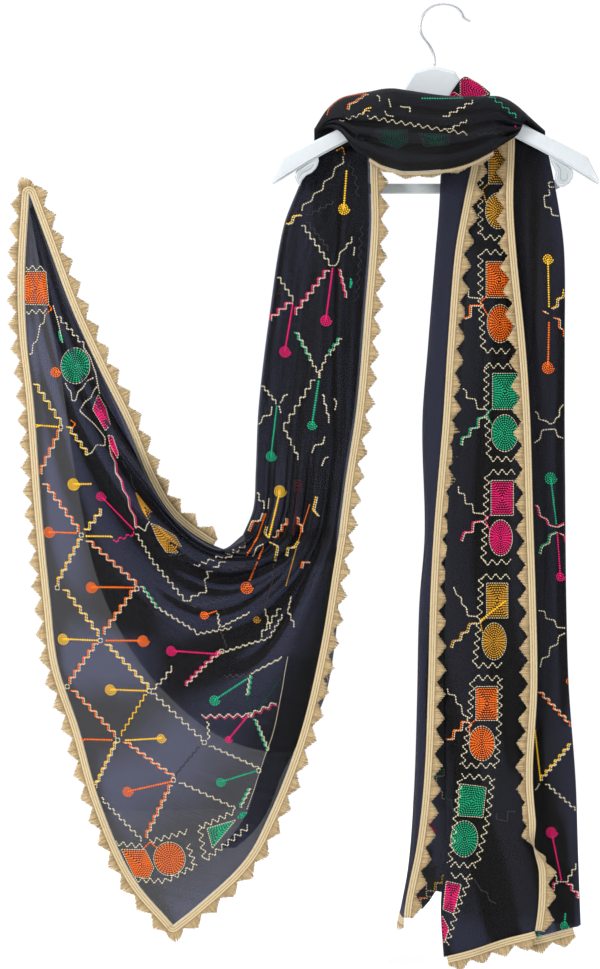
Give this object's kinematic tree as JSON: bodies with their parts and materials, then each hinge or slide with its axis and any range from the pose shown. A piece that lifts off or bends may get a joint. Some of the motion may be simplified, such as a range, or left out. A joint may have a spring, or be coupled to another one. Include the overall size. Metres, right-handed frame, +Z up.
{
  "type": "embroidered dupatta on a hanger",
  "caption": "Sheer embroidered dupatta with lace edges, draped over a plastic hanger, one end raised as a swag.",
  "frame": {"origin": "inside the top of the hook, where the rail carries it", "axes": "+Z up, -Y towards the front, +X to the viewer's right"},
  "size_m": [0.7444, 0.085, 1.2166],
  "materials": {
    "cloth": "sheer crinkled georgette, black",
    "lace": "gold cotton fringe lace",
    "hanger_plastic": "moulded, pale grey",
    "hook_steel": "bright wire"
  },
  "bodies": {
    "root": {"raised_end": "cloth", "swag_back": "cloth", "left_fall": "cloth", "right_fall": "cloth", "front_cowl": "cloth", "cowl_peak": "cloth", "end_lace": "lace", "raised_edge_lace": "lace", "swag_lace": "lace", "left_fall_lace": "lace", "cowl_lace": "lace", "right_inner_lace": "lace", "right_outer_lace": "lace", "right_twisted_lace": "lace", "middle_hem_lace": "lace", "outer_hem_lace": "lace", "column_hem_lace": "lace", "hanger_body": "hanger_plastic", "trouser_bar": "hanger_plastic", "left_swirl": "hanger_plastic", "right_swirl": "hanger_plastic", "hook": "hook_steel"}
  },
  "joints": []
}
